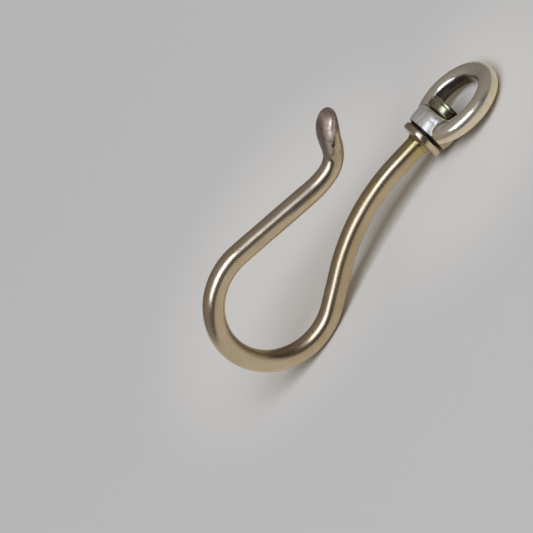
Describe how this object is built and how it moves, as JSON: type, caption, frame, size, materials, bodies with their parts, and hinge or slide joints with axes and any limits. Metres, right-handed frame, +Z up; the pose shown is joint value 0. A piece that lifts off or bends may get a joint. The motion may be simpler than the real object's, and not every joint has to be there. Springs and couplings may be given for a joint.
{
  "type": "swivel meat hook",
  "caption": "Bent round-rod hanging hook with a recurved, blunt flattened point, turning in a riveted ring eye.",
  "frame": {"origin": "the spot inside the crown of the eye that hangs on a rail, mount eye_seat", "axes": "+Z up as the hook stands on a level surface on the heel of its bend and the crown of its eye, +X horizontally from the bend towards the eye, hook plane is XZ"},
  "size_m": [0.1025, 0.0266, 0.04],
  "materials": {
    "hook_metal": "worn nickel plate over brass, polished, with tarnish",
    "collar_metal": "worn plate over brass with a golden braze tint",
    "eye_metal": "worn silvery plate, scratched on the boss",
    "rove_metal": "dull greenish brass"
  },
  "bodies": {
    "hook": {"hook_rod": "hook_metal", "shank_collar": "collar_metal", "rove": "rove_metal"},
    "eye": {"swivel_eye": "eye_metal"}
  },
  "joints": [
    {"name": "swivel", "type": "hinge", "parent": "hook", "child": "eye", "pos_m": [-0.01978, 0, 0.00441], "axis": [0.976, 0, -0.2178], "continuous": true}
  ]
}
